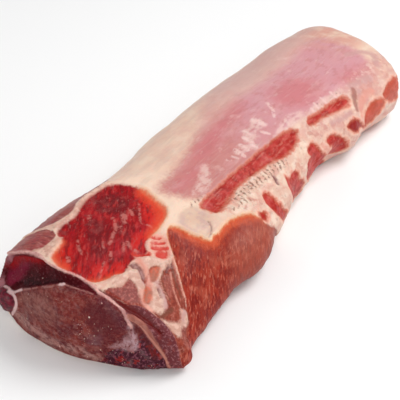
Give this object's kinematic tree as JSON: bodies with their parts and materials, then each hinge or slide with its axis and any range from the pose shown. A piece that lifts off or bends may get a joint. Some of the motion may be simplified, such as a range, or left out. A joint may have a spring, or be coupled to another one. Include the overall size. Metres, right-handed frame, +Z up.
{
  "type": "pork loin",
  "caption": "Whole raw boneless pork loin, frozen hard: a long rounded cut with a flat cut end, bare red muscle near it and a pale cover of fat and silver skin.",
  "frame": {"origin": "centre of the footprint, on the surface that the meat rests on", "axes": "+Y from the cut end to the far end, +Z up, +X towards the flank side"},
  "size_m": [0.174, 0.52, 0.0799],
  "materials": {
    "meat": "raw frozen pork: red and pink lean, cream fat and silver skin, moist with a light frost"
  },
  "bodies": {
    "root": {"pork_loin": "meat"}
  },
  "joints": []
}
